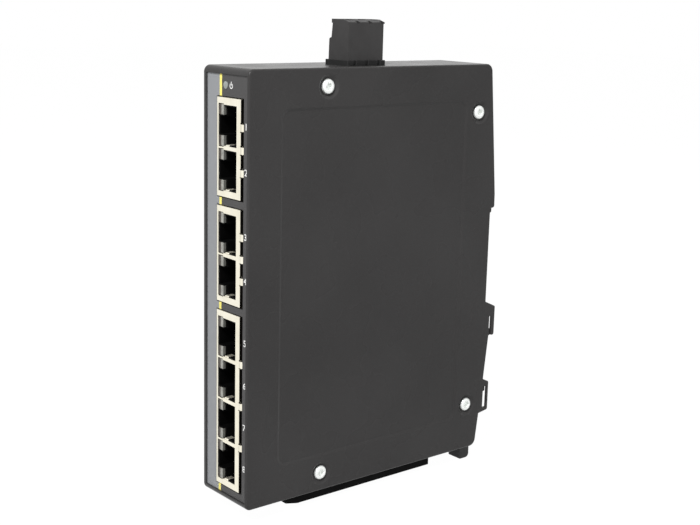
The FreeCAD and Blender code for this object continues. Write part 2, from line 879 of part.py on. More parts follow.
def make_magnetics():
    """One transformer block behind each pair of ports."""
    blocks = []
    for block in range(len(block_port_counts)):
        levels = port_levels(block)
        for n in range(0, len(levels) - 1, 2):
            blocks.append(board_block(magnetics_depth, (levels[n] + levels[n + 1]) / 2, *magnetics_size))
    return Part.makeCompound(blocks)


def make_capacitors():
    return Part.makeCompound([rod(capacitor_radius, (board_face, y, z), (1, 0, 0), capacitor_height)
                              for y, z in capacitor_places])


def make_status_lamp():
    return box(board_face, board_face + 0.9, 5.2, 7.2, light_level - 0.8, light_level + 0.8)


def make_light_guide():
    """Bent guide: stands over the lamp, turns at a slanted face, ends flush in the label."""
    stem_back = 7.4
    outline = [
        (board_face + 1.0, 5.0),
        (light_x - light_radius + 0.1, 5.0),
        (light_x - light_radius + 0.1, rim_wall + 0.4),
        (light_x + light_radius - 0.1, rim_wall + 0.4),
        (light_x + light_radius - 0.1, 5.0),
        (light_x - light_radius + 0.1, stem_back),
        (board_face + 1.0, stem_back),
    ]
    stem = plan_slab(outline, light_level - 0.95, light_level + 0.95)
    neck = box(light_x - neck_half, light_x + neck_half, label_depth, rim_wall + 1,
               light_level - neck_half, light_level + neck_half)
    tip_front = label_face - 0.1
    tip = rod(light_radius, (light_x, tip_front, light_level), (0, 1, 0), label_depth - tip_front)
    return join([stem, neck, tip])


# --------------------------------------------------------------- power connector

def make_header():
    body = box(header_x0, header_x1, header_y0, header_y1, plug_seat - header_floor, height - rim_wall - 0.3)
    collar = box(collar_x0, header_x1, header_y0, header_y1, height - rim_wall - 1, header_top)
    cavity = box(plug_left - plug_play, plug_right + plug_play, header_y0 + header_wall,
                 header_y1 - header_wall, plug_seat, header_top + 1)
    tools = [cavity]
    for y in pole_places:
        hole = pin_size / 2 + fit
        tools.append(upright(pin_x, y, hole, hole, plug_seat - header_floor - 1, plug_seat + 1))
        tools.append(upright(header_x1, y, header_x1 - plug_right, notch_half, header_top - header_notch,
                             header_top + 1))
    return cut_all(join([body, collar]), tools).removeSplitter()


def make_header_pins():
    """Square pins that stand in the cavity and turn below it towards the board."""
    low = plug_seat - header_floor - 1.0
    pins = []
    for y in pole_places:
        stem = upright(pin_x, y, pin_size / 2, pin_size / 2, low, pin_top)
        foot = box(board_face, pin_x + pin_size / 2, y - pin_size / 2, y + pin_size / 2,
                   low - pin_size / 2, low + pin_size / 2)
        pins.append(join([stem, foot]))
    return Part.makeCompound(pins)


pocket_left = plug_left + 1.75
bar_x0 = pin_x - bar_sheet / 2
bar_x1 = pin_x + bar_sheet / 2
nut_x1 = bar_x0 - 0.2
nut_x0 = nut_x1 - cage_nut
cage_x1 = nut_x0 + cage_length
tube_half = 1.3
tube_top = height + 1.2
pocket_half_z = cage_depth / 2 + 0.25


def make_plug_body():
    """Moulded plug: stepped on the clamp side, lipped on top, pockets for the three clamps."""
    y0 = plug_mid - plug_width / 2
    y1 = plug_mid + plug_width / 2
    ledge = height + plug_ledge
    slim = plug_left + plug_step
    brow = plug_top - brow_tall
    shoulder = plug_top - slope_drop
    outline = [
        (plug_left, plug_seat + seat_play, 0),
        (plug_right, plug_seat + seat_play, 0),
        (plug_right, shoulder, plug_round),
        (plug_right - slope_width, plug_top, 0),
        (slim, plug_top, 0),
        (slim, brow, 0),
        (slim + brow_depth, brow, 0),
        (slim, ledge + brow_depth, 0),
        (plug_left + brow_depth, ledge, plug_round),
    ]
    body = front_slab(outline, y0, y1)
    lip_outline = [
        (slim + brow_depth, brow),
        (plug_right, brow),
        (plug_right, shoulder),
        (plug_right - slope_width, plug_top),
        (slim + brow_depth, plug_top),
    ]
    lip = front_slab(lip_outline, y1 - lip_reach, y1 + lip_reach)
    tools = []
    for y in pole_places:
        half_cage = cage_width / 2 + 0.12
        tools.append(box(pocket_left, cage_x1 + 0.2, y - half_cage, y + half_cage,
                         clamp_z - pocket_half_z, clamp_z + pocket_half_z))
        tools.append(rod(clamp_head_radius + 0.15, (plug_left - 2, y, clamp_z), (1, 0, 0),
                         pocket_left - 0.3 - plug_left + 2))
        neck = clamp_radius + 0.1
        tools.append(box(plug_left, plug_left + 3.0, y - neck, y + neck, clamp_z - neck, clamp_z + neck))
        tools.append(upright(pin_x, y, tube_half + pocket_play, tube_half + pocket_play,
                             plug_seat, tube_top + pocket_play))
        tools.append(upright(pin_x, y, bar_sheet / 2 + pocket_play, bar_half + pocket_play,
                             tube_top, clamp_z + pocket_half_z + 0.4))
        entry_mid = bar_x1 + (cage_x1 - cage_wall * 2 - bar_x1) / 2
        entry = wire_entry / 2
        tools.append(upright(entry_mid, y, entry, entry, clamp_z, plug_top + 1))
        groove = y + groove_offset
        tools.append(box(plug_right - groove_depth, plug_right + 1, groove, groove + groove_width,
                         plug_top - groove_drop, plug_top + 1))
    return cut_all(join([body, lip]), tools).removeSplitter()


def make_plug_contacts():
    """Box contacts for the pins, each with a current bar that stands in its clamp."""
    contacts = []
    for y in pole_places:
        bore_half = tube_half - bar_sheet
        tube = upright(pin_x, y, tube_half, tube_half, plug_seat + 0.5, tube_top)
        bore = upright(pin_x, y, bore_half, bore_half, plug_seat, tube_top - bar_sheet)
        bar = upright(pin_x, y, bar_sheet / 2, bar_half, tube_top - pocket_play, clamp_z + pocket_half_z)
        contacts.append(join([tube.cut(bore), bar]))
    return Part.makeCompound(contacts)


def make_clamp_screw(y):
    seat = pocket_left - 0.3
    head = rod(clamp_head_radius, (seat - clamp_head_height, y, clamp_z), (1, 0, 0), clamp_head_height)
    flat = clamp_radius * math.cos(math.radians(30))
    shank = hex_rod(flat, (seat, y, clamp_z), (1, 0, 0), bar_x0 - bar_clearance - seat)
    slot = box(seat - clamp_head_height - 1, seat - clamp_head_height + 0.7, y - 2.5, y + 2.5,
               clamp_z - 0.3, clamp_z + 0.3)
    return join([head, shank]).cut(slot)


def make_clamp_cage(y):
    """Open frame round the current bar; its thick wall is the nut of the clamp screw."""
    side = cage_width / 2
    frame = box(nut_x0, cage_x1, y - side, y + side, clamp_z - cage_depth / 2, clamp_z + cage_depth / 2)
    opening = box(nut_x1, cage_x1 - cage_wall * 2, y - side + cage_wall, y + side - cage_wall,
                  clamp_z - cage_depth, clamp_z + cage_depth)
    thread = hex_rod(clamp_radius + fit, (nut_x0 - 1, y, clamp_z), (1, 0, 0), cage_nut + 1.5)
    return frame.cut(opening).cut(thread)


# ------------------------------------------------------------ rail hook and latch

def make_rail_hook():
    """Fixed seat for the rail with a lip that hangs over the rail's upper flange."""
    lip_front = seat_depth + lip_gap
    lip_rear = lip_front + lip_sheet
    lip_tip = rail_top - lip_overlap
    outline = [
        (channel_depth, hook_bottom, 0),
        (seat_depth, hook_bottom, 0.5),
        (seat_depth, lip_tip - rail_play, 0),
        (seat_depth - hook_relief, lip_tip - rail_play, 0),
        (seat_depth - hook_relief, rail_top + rail_play, 0),
        (lip_front, rail_top + rail_play, 0),
        (lip_front, lip_tip, 0),
        (lip_rear, lip_tip + 0.6, 0.4),
        (lip_rear, rail_top + 3.2, 1.0),
        (seat_depth - 0.8, channel_top - 0.3, 0),
        (channel_depth, channel_top - 0.3, 0),
    ]
    hook = side_slab(outline, -clip_half, clip_half)
    tools = []
    for z in hook_screw_levels:
        tools.append(hex_rod(screw_radius + 3 * fit, (0, channel_depth - 1, z), (0, 1, 0),
                             seat_depth - channel_depth))
        tools.append(box(-hook_recess, hook_recess, channel_depth + hook_screw_seat, seat_depth + 1,
                         z - hook_recess, z + hook_recess))
    for side in (-1, 1):
        mid = side * clip_half * 0.62
        tools.append(box(mid - hook_pocket, mid + hook_pocket, channel_depth - 1, seat_depth - hook_wall,
                         hook_bottom + hook_wall, rail_top - hook_wall))
    return cut_all(hook, tools).removeSplitter()


def make_hook_screws():
    """Hexagon-head screws, sunk in the hook so that the rail passes over them."""
    screws = []
    for z in hook_screw_levels:
        seat = channel_depth + hook_screw_seat
        shank = hex_rod(screw_radius, (0, channel_depth - rim_wall - hook_boss, z), (0, 1, 0),
                        rim_wall + hook_boss + hook_screw_seat)
        head = hex_rod(hook_recess * 0.8, (0, seat, z), (0, 1, 0), screw_head_height)
        screws.append(join([shank, head]))
    return Part.makeCompound(screws)


def make_latch():
    """Sprung slider in the channel: a tooth behind the lower rail flange, a foot to pull it down."""
    front = channel_depth + latch_play
    catch = seat_depth + rail_sheet + rail_play + fit
    tooth_reach = catch + tooth_thick
    ledge = rail_bottom - rail_play - fit
    tip = rail_bottom + latch_overlap
    slider_rear = catch - ledge_gap
    upper_rib_reach = upper_lug_reach + rib_reach
    upper_rib_low = upper_lug_bottom - upper_rib_drop
    upper_rib_top = upper_rib_low + upper_rib_tall
    lower_rib_reach = lower_lug_reach + rib_reach
    lower_rib_top = lower_lug_top - lower_rib_drop
    lower_rib_low = lower_rib_top - lower_rib_tall

    def skin(level):
        return lower_rear(level) - latch_inset

    slider = [
        (front, ledge, 0),
        (slider_rear, ledge, 0),
        (slider_rear, upper_rib_top + rib_slope, 0),
        (upper_rib_reach, upper_rib_top, 0.4),
        (upper_rib_reach, upper_rib_low, 0.4),
        (skin(upper_rib_low - rib_slope), upper_rib_low - rib_slope, 0),
        (skin(lower_rib_top + rib_slope), lower_rib_top + rib_slope, 0),
        (lower_rib_reach, lower_rib_top, 0.4),
        (lower_rib_reach, lower_rib_low, 0.4),
        (skin(lower_rib_low - rib_slope), lower_rib_low - rib_slope, 0),
        (skin(0), 0, 0),
        (skin(foot_bottom) + foot_heel, foot_bottom, foot_round),
        (foot_front, foot_bottom, 0.5),
        (foot_front, -foot_gap, 0),
        (front, -foot_gap, 0),
    ]
    tooth = [
        (slider_rear - tooth_slope, ledge, 0),
        (catch, ledge, 0),
        (catch, tip, 0),
        (tooth_reach, tip - tooth_slope, 0.5),
        (tooth_reach, upper_rib_top + rib_slope, 0),
        (slider_rear - tooth_slope, upper_rib_top, 0),
    ]
    latch = join([side_slab(slider, -clip_half, clip_half), side_slab(tooth, -tooth_half, tooth_half)])
    bend = upper_rib_low + upper_rib_tall
    skin_low = lower_rear(hollow_bottom) - latch_inset - latch_skin
    skin_high = lower_rear(bend) - latch_inset - latch_skin
    hollow = [
        (front - 1, hollow_bottom),
        (skin_low, hollow_bottom),
        (skin_high, bend),
        (skin_high, spring_top),
        (front - 1, spring_top),
    ]
    groove_front = channel_depth + cheek_lip_depth - latch_play
    tools = [side_slab(hollow, -clip_half + 2.4, clip_half - 2.4)]
    for side in (-1, 1):
        x0, x1 = sorted([side * (clip_half - cheek_lip_overlap - guide_gap), side * (clip_half + 1)])
        tools.append(box(x0, x1, groove_front, groove_front + cheek_lip + 2 * latch_play,
                         cheek_lip_bottom - 1.0, upper_lug_bottom + latch_travel + 0.5))
    tools.append(box(-4.0, 4.0, foot_front - 1, foot_front + 1.6, foot_bottom - 1, foot_bottom + 1.1))
    return cut_all(latch, tools).removeSplitter()


def make_latch_spring():
    """Coil of square wire, turned in straight steps."""
    side = spring_wire / 2
    steps = spring_coils * spring_sides
    rise = (spring_top - spring_seat - spring_wire) / steps
    rings = []
    for n in range(steps + 1):
        angle = 2 * math.pi * n / spring_sides
        level = spring_seat + side + n * rise
        ring = []
        for out, up in ((-side, -side), (side, -side), (side, side), (-side, side)):
            reach = spring_radius + out
            ring.append(V(reach * math.cos(angle), spring_y + reach * math.sin(angle), level + up))
        rings.append(ring)
    faces = [Part.Face(Part.makePolygon(ring + [ring[0]])) for ring in (rings[0], rings[-1])]
    for low, high in zip(rings, rings[1:]):
        for n in range(4):
            following = (n + 1) % 4
            for corners in ((low[n], low[following], high[following]), (low[n], high[following], high[n])):
                faces.append(Part.Face(Part.makePolygon(list(corners) + [corners[0]])))
    return Part.Solid(Part.Shell(faces))


# ---------------------------------------------------------------- underside strip

def make_strip():
    outline = [
        (strip_front, 0, 0),
        (strip_front + 0.7, -strip_depth * 0.72, 0.6),
        (strip_front + strip_ramp, -strip_depth, 0),
        (strip_rear, -strip_depth, 0),
        (strip_rear, 0, 0),
    ]
    strip = side_slab(outline, -strip_half, strip_half)
    tongue = box(-strip_half + tongue_inset, strip_half - tongue_inset, strip_front + strip_ramp,
                 strip_rear - tongue_inset, -0.5, rim_wall + 0.4)
    return join([strip, tongue])


# ------------------------------------------------------------------------- export

def main():
    os.makedirs("parts", exist_ok=True)
    save("main_shell", make_shell())
    save("side_cover", make_cover())
    save("cover_screws", make_cover_screws())
    save("front_label", make_label())
    first = 1
    for block in range(len(block_port_counts)):
        last = first + block_port_counts[block] - 1
        ports = "_%d_%d" % (first, last)
        save("socket_shield" + ports, make_shield(block))
        save("socket_body" + ports, make_socket_body(block))
        save("socket_contacts" + ports, make_contacts(block))
        save("socket_lamps" + ports, make_lamps(block))
        first = last + 1
    save("circuit_board", make_board())
    save("board_screws", make_board_screws())
    save("port_magnetics", make_magnetics())
    for name, y, z, long_y, long_z, tall in board_packages:
        save(name, board_block(y, z, long_y, long_z, tall))
    save("supply_capacitors", make_capacitors())
    save("status_lamp", make_status_lamp())
    save("status_light_guide", make_light_guide())
    save("power_header", make_header())
    save("header_pins", make_header_pins())
    save("plug_body", make_plug_body())
    save("plug_contacts", make_plug_contacts())
    for n, y in enumerate(pole_places):
        save("clamp_screw_%d" % (n + 1), make_clamp_screw(y))
        save("clamp_cage_%d" % (n + 1), make_clamp_cage(y))
    save("rail_hook", make_rail_hook())
    save("hook_screws", make_hook_screws())
    save("rail_latch", make_latch())
    save("latch_spring", make_latch_spring())
    save("underside_strip", make_strip())


main()
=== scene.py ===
# %% [markdown]
# A slim eight-port network switch for a top-hat rail, dressed for a studio picture.
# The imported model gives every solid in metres, in its own place. This lesson keeps those
# solids as the frame, gives each one a finish made of nodes, and swaps a few of them for
# finer surfaces that fill the same room.

import math

import bmesh
import bpy
import numpy as np
from mathutils import Matrix, Vector


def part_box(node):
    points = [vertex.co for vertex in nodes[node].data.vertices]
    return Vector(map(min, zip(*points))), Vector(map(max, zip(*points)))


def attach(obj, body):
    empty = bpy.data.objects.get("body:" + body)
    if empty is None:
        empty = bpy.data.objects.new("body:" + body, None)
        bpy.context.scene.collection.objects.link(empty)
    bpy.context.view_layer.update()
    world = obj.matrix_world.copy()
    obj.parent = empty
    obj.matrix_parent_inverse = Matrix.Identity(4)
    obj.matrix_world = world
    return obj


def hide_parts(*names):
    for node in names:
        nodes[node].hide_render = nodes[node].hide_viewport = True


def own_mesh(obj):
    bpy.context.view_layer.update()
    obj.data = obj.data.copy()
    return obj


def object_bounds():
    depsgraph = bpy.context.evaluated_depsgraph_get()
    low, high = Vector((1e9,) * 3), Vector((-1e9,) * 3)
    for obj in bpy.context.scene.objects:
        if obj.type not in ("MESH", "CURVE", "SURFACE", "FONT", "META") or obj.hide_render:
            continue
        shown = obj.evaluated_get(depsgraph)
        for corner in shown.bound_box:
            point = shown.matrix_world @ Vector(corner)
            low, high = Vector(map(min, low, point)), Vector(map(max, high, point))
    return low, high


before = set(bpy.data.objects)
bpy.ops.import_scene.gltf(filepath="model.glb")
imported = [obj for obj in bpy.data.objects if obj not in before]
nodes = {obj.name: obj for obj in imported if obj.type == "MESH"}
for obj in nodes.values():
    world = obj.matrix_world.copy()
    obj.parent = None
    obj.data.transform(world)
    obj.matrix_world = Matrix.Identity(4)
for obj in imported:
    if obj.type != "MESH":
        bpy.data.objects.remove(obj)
cad_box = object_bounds()
MM = 0.001
print("nodes:", len(nodes), "box:", [[round(v, 4) for v in corner] for corner in cad_box])

# %% [markdown]
# The finishes are laid out in the switch's own measures, so a few places are read off the
# solids first: the housing's front, the label and the sockets. A maker would do the same
# from the drawing, and nothing has to be moved by eye later.

# %% Places that the finishes and small pieces share
shell_low, shell_high = (Vector(corner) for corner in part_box("main_shell"))
label_low, label_high = (Vector(corner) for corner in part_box("front_label"))
blocks = ("1_2", "3_4", "5_8")
shields = {name: tuple(Vector(c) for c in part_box("socket_shield_" + name)) for name in blocks}
bodies = {name: tuple(Vector(c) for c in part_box("socket_body_" + name)) for name in blocks}
front = shell_low.y
face = label_low.y
print("front plane at", round(front, 5), "label face at", round(face, 5))

# %% [markdown]
# The camera stands in front of the left half of the cover and a little above the middle,
# with a mild tele lens, so the narrow front with its sockets and the wide cover both show.
# Its turn is built from three angles: round the upright axis, down, and a slight roll.

# %% Camera
camera_place = Vector((0.31809, -0.320363, 0.091825))
turn = math.radians(50.263)
dip = math.radians(12.268)
roll = math.radians(1.465)
ahead = Vector((-math.sin(turn) * math.cos(dip), math.cos(turn) * math.cos(dip), -math.sin(dip)))
level_right = Vector((math.cos(turn), math.sin(turn), 0))
level_up = level_right.cross(ahead)
right = level_right * math.cos(roll) + level_up * math.sin(roll)
up = level_up * math.cos(roll) - level_right * math.sin(roll)

lens = bpy.data.cameras.new("studio_camera")
lens.lens = 63.42
lens.sensor_width = 36
lens.clip_start = 0.01
camera = bpy.data.objects.new("studio_camera", lens)
camera.matrix_world = Matrix((
    (right.x, up.x, -ahead.x, camera_place.x),
    (right.y, up.y, -ahead.y, camera_place.y),
    (right.z, up.z, -ahead.z, camera_place.z),
    (0, 0, 0, 1),
))
bpy.context.scene.collection.objects.link(camera)
bpy.context.scene.camera = camera
bpy.context.scene.view_settings.view_transform = "Standard"
print("camera", [round(v, 4) for v in camera_place])

# %% [markdown]
# A product picture wants soft, even light that still tells one face from the next. A small key
# panel high in front gives edges and dimples their shade, a large weak one fills the cover's
# side, and one from behind draws the far edges. The world is white where the camera, glass
# and gloss look at it, and dimmer where it lights the object.

# %% Studio light
WHITE = (1, 1, 1, 1)


def new_node(tree, kind, operation=None, **values):
    """A node of a kind, with its operation and plain inputs set; an underscore stands for a space."""
    node = tree.nodes.new("ShaderNode" + kind)
    if operation:
        node.operation = operation
    for label, value in values.items():
        node.inputs[label.replace("_", " ")].default_value = value
    return node


def direct_rays(tree):
    """Mask that is 1 for rays from the camera, from gloss and through glass, and 0 for light."""
    path = new_node(tree, "LightPath")
    some = new_node(tree, "Math", "MAXIMUM")
    every = new_node(tree, "Math", "MAXIMUM")
    tree.links.new(path.outputs["Is Camera Ray"], some.inputs[0])
    tree.links.new(path.outputs["Is Glossy Ray"], some.inputs[1])
    tree.links.new(some.outputs[0], every.inputs[0])
    tree.links.new(path.outputs["Is Transmission Ray"], every.inputs[1])
    return every.outputs[0]


def panel_light(name, place, target, size, power):
    """A square area lamp at place that looks at target."""
    lamp = bpy.data.lights.new(name, "AREA")
    lamp.size = size
    lamp.energy = power
    holder = bpy.data.objects.new(name, lamp)
    holder.location = place
    holder.rotation_euler = (Vector(target) - Vector(place)).to_track_quat("-Z", "Y").to_euler()
    bpy.context.scene.collection.objects.link(holder)
    return holder


middle = (Vector(cad_box[0]) + Vector(cad_box[1])) / 2
panel_light("key_panel", (0.30, -0.55, 0.60), middle, 0.22, 7.6)
panel_light("side_panel", (0.80, 0.05, 0.30), middle, 0.6, 0.5)
panel_light("rear_panel", (-0.20, 0.60, 0.50), middle, 0.6, 1.2)

world = bpy.data.worlds.new("studio_room")
bpy.context.scene.world = world
world.use_nodes = True
tree = world.node_tree
tree.nodes.clear()
dim = new_node(tree, "Background", Color=WHITE, Strength=0.2)
white = new_node(tree, "Background", Color=WHITE, Strength=1.0)
either = new_node(tree, "MixShader")
world_out = new_node(tree, "OutputWorld")
tree.links.new(direct_rays(tree), either.inputs["Fac"])
tree.links.new(dim.outputs[0], either.inputs[1])
tree.links.new(white.outputs[0], either.inputs[2])
tree.links.new(either.outputs[0], world_out.inputs["Surface"])

# %% [markdown]
# The floor is a plain sheet that meets the white of the room. Seen directly it is white
# paper; for the light that it sends back to the object it is an ordinary pale matt sheet.

# %% Floor
floor_gap = 0.2 * MM
floor_level = cad_box[0][2] - floor_gap
span = 3.0
corners = [(-span, -span), (span, -span), (span, span), (-span, span)]
floor_mesh = bpy.data.meshes.new("studio_floor")
floor_mesh.from_pydata([(x, y, floor_level) for x, y in corners], [], [(0, 1, 2, 3)])
floor = bpy.data.objects.new("studio_floor", floor_mesh)
bpy.context.scene.collection.objects.link(floor)
paper = bpy.data.materials.new("studio_paper")
paper.use_nodes = True
tree = paper.node_tree
matt = tree.nodes["Principled BSDF"]
matt.inputs["Base Color"].default_value = (0.85, 0.85, 0.85, 1)
matt.inputs["Roughness"].default_value = 0.9
matt.inputs["Specular IOR Level"].default_value = 0.0
glow = new_node(tree, "Emission", Strength=1.05)
share = new_node(tree, "Math", "MULTIPLY")
share.inputs[1].default_value = 0.94
blend_in = new_node(tree, "MixShader")
paper_out = tree.nodes["Material Output"]
tree.links.new(direct_rays(tree), share.inputs[0])
tree.links.new(share.outputs[0], blend_in.inputs["Fac"])
tree.links.new(matt.outputs[0], blend_in.inputs[1])
tree.links.new(glow.outputs[0], blend_in.inputs[2])
tree.links.new(blend_in.outputs[0], paper_out.inputs["Surface"])
floor_mesh.materials.append(paper)
print("floor at", round(floor_level, 5))

# %% [markdown]
# Three effects come back in almost every finish of a small appliance: a fine grain in the
# surface, a slow drift in tone or gloss, and drawn lines in sheet metal. Each is built once
# as a node group with named inputs, and every finish places it with its own values.

# %% Shared effects
def effect(name, inputs, outputs):
    """An empty node group with named sockets; returns the tree and its two end nodes."""
    shared = bpy.data.node_groups.new(name, "ShaderNodeTree")
    for label, kind, value in inputs:
        socket = shared.interface.new_socket(label, in_out="INPUT", socket_type=kind)
        if value is not None:
            socket.default_value = value
    for label, kind in outputs:
        shared.interface.new_socket(label, in_out="OUTPUT", socket_type=kind)
    return shared, shared.nodes.new("NodeGroupInput"), shared.nodes.new("NodeGroupOutput")


def scaled_place(shared, start, size_label):
    """Place divided by a size in millimetres, so one noise cell is about that size."""
    ratio = new_node(shared, "Math", "DIVIDE")
    ratio.inputs[0].default_value = 1000.0
    shared.links.new(start.outputs[size_label], ratio.inputs[1])
    scaled = new_node(shared, "VectorMath", "SCALE")
    shared.links.new(start.outputs["Place"], scaled.inputs[0])
    shared.links.new(ratio.outputs[0], scaled.inputs["Scale"])
    return scaled.outputs["Vector"]


def fine_grain():
    """Normal of a surface whose height is one noise of three octaves, and the height itself."""
    shared, start, end = effect(
        "Fine Grain",
        [("Place", "NodeSocketVector", None), ("Grain mm", "NodeSocketFloat", 0.4),
         ("Strength", "NodeSocketFloat", 0.3), ("Depth mm", "NodeSocketFloat", 0.02)],
        [("Normal", "NodeSocketVector"), ("Height", "NodeSocketFloat")])
    place = scaled_place(shared, start, "Grain mm")
    coarse = new_node(shared, "TexNoise", Scale=1.0, Detail=3.0, Roughness=0.65)
    shared.links.new(place, coarse.inputs["Vector"])
    depth = new_node(shared, "Math", "MULTIPLY")
    depth.inputs[1].default_value = MM
    shared.links.new(start.outputs["Depth mm"], depth.inputs[0])
    bump = new_node(shared, "Bump")
    shared.links.new(start.outputs["Strength"], bump.inputs["Strength"])
    shared.links.new(depth.outputs[0], bump.inputs["Distance"])
    shared.links.new(coarse.outputs["Fac"], bump.inputs["Height"])
    shared.links.new(bump.outputs["Normal"], end.inputs["Normal"])
    shared.links.new(coarse.outputs["Fac"], end.inputs["Height"])
    return shared


def slow_drift():
    """A value that wanders between Low and High over patches of the given size."""
    shared, start, end = effect(
        "Slow Drift",
        [("Place", "NodeSocketVector", None), ("Patch mm", "NodeSocketFloat", 20.0),
         ("Low", "NodeSocketFloat", 0.0), ("High", "NodeSocketFloat", 1.0)],
        [("Value", "NodeSocketFloat")])
    place = scaled_place(shared, start, "Patch mm")
    cloud = new_node(shared, "TexNoise", Scale=1.0, Detail=2.0)
    shared.links.new(place, cloud.inputs["Vector"])
    spread = new_node(shared, "MapRange", From_Min=0.3, From_Max=0.7)
    shared.links.new(cloud.outputs["Fac"], spread.inputs["Value"])
    shared.links.new(start.outputs["Low"], spread.inputs["To Min"])
    shared.links.new(start.outputs["High"], spread.inputs["To Max"])
    shared.links.new(spread.outputs["Result"], end.inputs["Value"])
    return shared


def rolled_lines():
    """Long thin streaks along one direction, as a mask, from a noise stretched along it."""
    shared, start, end = effect(
        "Rolled Lines",
        [("Place", "NodeSocketVector", None), ("Stretch", "NodeSocketVector", (4.0, 4.0, 0.15)),
         ("Low", "NodeSocketFloat", 0.0), ("High", "NodeSocketFloat", 1.0)],
        [("Mask", "NodeSocketFloat")])
    stretched = new_node(shared, "VectorMath", "MULTIPLY")
    shared.links.new(start.outputs["Place"], stretched.inputs[0])
    shared.links.new(start.outputs["Stretch"], stretched.inputs[1])
    streak = new_node(shared, "TexNoise", Scale=1000.0, Detail=2.0)
    shared.links.new(stretched.outputs["Vector"], streak.inputs["Vector"])
    spread = new_node(shared, "MapRange", From_Min=0.35, From_Max=0.65)
    shared.links.new(streak.outputs["Fac"], spread.inputs["Value"])
    shared.links.new(start.outputs["Low"], spread.inputs["To Min"])
    shared.links.new(start.outputs["High"], spread.inputs["To Max"])
    shared.links.new(spread.outputs["Result"], end.inputs["Mask"])
    return shared


GRAIN = fine_grain()
DRIFT = slow_drift()
LINES = rolled_lines()
print("shared effects:", [group.name for group in bpy.data.node_groups])

# %% [markdown]
# A finish is one Principled shader with its plain values set on its own sockets, and with
# grain and drift wired to the colour, the roughness and the normal. The helper below builds
# that pattern, because plastics, paints and board lacquers differ in numbers only.

# %% A helper for finishes
def paint_colour(red, green, blue):
    """Linear colour from the 0-255 values of a colour card."""
    values = np.array([red, green, blue]) / 255.0
    linear = np.where(values <= 0.04045, values / 12.92, ((values + 0.055) / 1.055) ** 2.4)
    return (*[float(v) for v in linear], 1.0)


# The Mix node keeps sockets for numbers, vectors and colours; these are its colour sockets.
MIX_FIRST, MIX_SECOND, MIX_RESULT = 6, 7, 2


def blended(tree, share, first, second):
    """Colour that goes from first to second with share; each is a plain colour or a socket."""
    mix = tree.nodes.new("ShaderNodeMix")
    mix.data_type = "RGBA"
    tree.links.new(share, mix.inputs["Factor"])
    for index, colour in ((MIX_FIRST, first), (MIX_SECOND, second)):
        if isinstance(colour, tuple):
            mix.inputs[index].default_value = colour
        else:
            tree.links.new(colour, mix.inputs[index])
    return mix.outputs[MIX_RESULT]


def object_place(tree):
    """The Object coordinates that a finished material already reads."""
    return next(n for n in tree.nodes if n.type == "TEX_COORD").outputs["Object"]


def place_group(tree, group, **values):
    """A shared effect placed in a material, with its plain values set on it."""
    node = new_node(tree, "Group")
    node.node_tree = group
    for label, value in values.items():
        node.inputs[label.replace("_", " ")].default_value = value
    return node


def finish(name, low, high, rough, grain=(0.5, 0.25, 0.02), patch=18.0, metallic=0.0, specular=0.5):
    """Material whose colour drifts from low to high and whose roughness drifts over rough."""
    material = bpy.data.materials.new(name)
    material.use_nodes = True
    tree = material.node_tree
    shader = tree.nodes["Principled BSDF"]
    shader.inputs["Metallic"].default_value = metallic
    shader.inputs["Specular IOR Level"].default_value = specular
    place = tree.nodes.new("ShaderNodeTexCoord").outputs["Object"]
    tone = place_group(tree, DRIFT, Patch_mm=patch)
    gloss = place_group(tree, DRIFT, Patch_mm=patch * 0.37, Low=rough[0], High=rough[1])
    skin = place_group(tree, GRAIN, Grain_mm=grain[0], Strength=grain[1], Depth_mm=grain[2])
    for node in (tone, gloss, skin):
        tree.links.new(place, node.inputs["Place"])
    tree.links.new(blended(tree, tone.outputs["Value"], low, high), shader.inputs["Base Color"])
    tree.links.new(gloss.outputs["Value"], shader.inputs["Roughness"])
    tree.links.new(skin.outputs["Normal"], shader.inputs["Normal"])
    return material


def dress(material, *names):
    """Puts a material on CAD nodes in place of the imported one."""
    for name in names:
        mesh = nodes[name].data
        mesh.materials.clear()
        mesh.materials.append(material)
    print(material.name, "on", ", ".join(names))


# %% [markdown]
# The housing is folded sheet steel under black powder coat. Powder coat is never quite
# smooth: it flows into a fine orange skin, and speckles of less melted powder catch the
# light. Two grains of noise, one for the skin and one for the speckle, give that. The
# normal carries the skin, and the speckle lifts the colour by a very small amount.

# %% Powder coat
def powder_coat():
    """Black coat: speckled colour, soft gloss and two sizes of surface grain."""
    material = finish("powder_coat", paint_colour(51, 50, 50), paint_colour(57, 56, 56),
                      (0.24, 0.32), grain=(0.55, 0.32, 0.035), patch=40.0, specular=0.15)
    tree = material.node_tree
    shader = tree.nodes["Principled BSDF"]
    speckle = place_group(tree, GRAIN, Grain_mm=0.28, Strength=0.0, Depth_mm=0.01)
    tree.links.new(object_place(tree), speckle.inputs["Place"])
    pick = new_node(tree, "MapRange", From_Min=0.58, From_Max=0.72, To_Max=0.55)
    tree.links.new(speckle.outputs["Height"], pick.inputs["Value"])
    under = shader.inputs["Base Color"].links[0].from_socket
    lifted = blended(tree, pick.outputs["Result"], under, paint_colour(82, 82, 81))
    tree.links.new(lifted, shader.inputs["Base Color"])
    return material


POWDER = powder_coat()
dress(POWDER, "main_shell", "side_cover")

# %% [markdown]
# The front label is a printed film: a light grey strip along the far edge, a thin yellow
# line beside the sockets, and dark grey elsewhere. The fields are straight bands across the
# width, so they come from comparing the place along X with a few limits. The print has a
# faint matt tooth, and the film a soft gloss.

# %% Front label print
shield_left = shields["1_2"][0].x
line_start = shield_left + 1.18 * MM
line_end = line_start + 1.27 * MM


